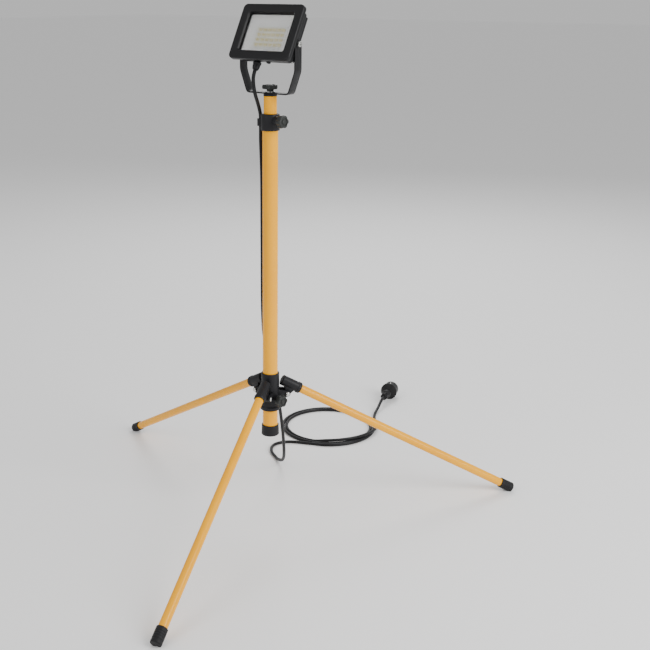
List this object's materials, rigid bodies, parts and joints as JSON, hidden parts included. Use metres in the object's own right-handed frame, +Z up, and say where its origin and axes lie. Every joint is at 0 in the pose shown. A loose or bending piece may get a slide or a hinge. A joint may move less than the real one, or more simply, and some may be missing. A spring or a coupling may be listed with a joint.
{
  "type": "tripod work light",
  "caption": "LED work light with a tilting floodlight on a yellow telescopic tripod, folding legs, clamp knobs, and a mains cord with coil and plug.",
  "frame": {"origin": "on the floor under the centre of the stand's bounding box, cord nodes left out", "axes": "+Z up along the mast, the lamp faces -Y, the bracket arms stand along X"},
  "size_m": [0.8724, 1.2132, 1.0112],
  "materials": {
    "yellow_paint": "gloss powder coat on steel tube",
    "charcoal_plastic": "fine moulded texture",
    "knob_plastic": "satin moulding",
    "lamp_paint": "satin powder coat on die-cast aluminium",
    "bright_steel": "bright zinc or nickel plating",
    "bracket_steel": "satin black powder coat on steel strip",
    "clear_glass": "clear toughened glass",
    "white_reflector": "white reflector",
    "led_phosphor": "yellowish LED phosphor, unlit",
    "black_rubber": "matt rubber",
    "foot_rubber": "matt rubber foot"
  },
  "bodies": {
    "hub": {"tripod_hub": "charcoal_plastic", "leg_right_bolt": "bright_steel", "leg_right_nut": "bright_steel", "leg_left_bolt": "bright_steel", "leg_left_nut": "bright_steel", "leg_front_bolt": "bright_steel", "leg_front_nut": "bright_steel", "cord_run": "black_rubber", "cord_coil": "black_rubber", "cord_tail": "black_rubber", "plug_body": "black_rubber", "plug_pin_a": "bright_steel", "plug_pin_b": "bright_steel", "earth_contact_a": "bright_steel", "earth_contact_b": "bright_steel"},
    "leg_right": {"leg_right_socket": "charcoal_plastic", "leg_right_tube": "yellow_paint", "leg_right_foot": "foot_rubber"},
    "leg_left": {"leg_left_socket": "charcoal_plastic", "leg_left_tube": "yellow_paint", "leg_left_foot": "foot_rubber"},
    "leg_front": {"leg_front_socket": "charcoal_plastic", "leg_front_tube": "yellow_paint", "leg_front_foot": "foot_rubber"},
    "hub_clamp": {"hub_knob": "knob_plastic", "hub_knob_stud": "bright_steel"},
    "outer_mast": {"outer_tube": "yellow_paint", "mast_collar": "charcoal_plastic", "mast_end_cap": "charcoal_plastic"},
    "mast_clamp": {"mast_knob": "knob_plastic", "mast_knob_stud": "bright_steel"},
    "inner_mast": {"inner_tube": "yellow_paint", "mast_glide": "charcoal_plastic", "mast_top_plug": "charcoal_plastic", "cord_lamp_lead": "black_rubber"},
    "bracket": {"lamp_bracket": "bracket_steel", "bracket_washer": "bright_steel"},
    "bracket_clamp": {"bracket_knob": "knob_plastic", "bracket_knob_stud": "bright_steel"},
    "lamp": {"lamp_housing": "lamp_paint", "lamp_bezel": "lamp_paint", "lamp_glass": "clear_glass", "lamp_gasket": "black_rubber", "lamp_reflector": "white_reflector", "led_board": "white_reflector", "led_array": "led_phosphor", "cable_gland": "charcoal_plastic", "vent_plug": "charcoal_plastic", "housing_screw_1": "bright_steel", "housing_screw_2": "bright_steel", "housing_screw_3": "bright_steel", "housing_screw_4": "bright_steel", "pivot_screw_left": "bright_steel", "pivot_screw_right": "bright_steel", "pivot_washer_left": "black_rubber", "pivot_washer_right": "black_rubber"}
  },
  "joints": [
    {"name": "leg_right_fold", "type": "hinge", "parent": "hub", "child": "leg_right", "pos_m": [0.09695, 0.0814, 0.2515], "axis": [-0.7314, 0.682, 0], "range_deg": [0, 62]},
    {"name": "leg_left_fold", "type": "hinge", "parent": "hub", "child": "leg_left", "pos_m": [0.04229, 0.06469, 0.2515], "axis": [-0.225, -0.9744, 0], "range_deg": [0, 62]},
    {"name": "leg_front_fold", "type": "hinge", "parent": "hub", "child": "leg_front", "pos_m": [0.08409, 0.02571, 0.2515], "axis": [0.9563, 0.2924, 0], "range_deg": [0, 62]},
    {"name": "hub_clamp_turn", "type": "hinge", "parent": "hub", "child": "hub_clamp", "pos_m": [0.10367, 0.05051, 0.244], "axis": [0.9744, -0.225, 0], "range_deg": [0, 360]},
    {"name": "mast_height", "type": "slide", "parent": "hub", "child": "outer_mast", "axis": [0, 0, 1], "range_m": [-0.155, 0.028], "deforming": ["cord_run"]},
    {"name": "mast_clamp_turn", "type": "hinge", "parent": "outer_mast", "child": "mast_clamp", "pos_m": [0.10379, 0.05103, 0.797], "axis": [0.9781, -0.2079, 0], "range_deg": [0, 360]},
    {"name": "mast_extend", "type": "slide", "parent": "outer_mast", "child": "inner_mast", "axis": [0, 0, 1], "range_m": [0, 0.45], "deforming": ["cord_lamp_lead"]},
    {"name": "bracket_pan", "type": "hinge", "parent": "inner_mast", "child": "bracket", "pos_m": [0.07444, 0.05726, 0.8481], "axis": [0, 0, 1], "range_deg": [-90, 90], "deforming": ["cord_lamp_lead"]},
    {"name": "bracket_clamp_turn", "type": "hinge", "parent": "bracket", "child": "bracket_clamp", "pos_m": [0.07444, 0.05726, 0.8481], "axis": [0, 0, 1], "range_deg": [0, 360]},
    {"name": "lamp_tilt", "type": "hinge", "parent": "bracket", "child": "lamp", "pos_m": [0.07444, 0.05726, 0.94], "axis": [-1, 0, 0], "range_deg": [-28, 63], "deforming": ["cord_lamp_lead"]}
  ]
}
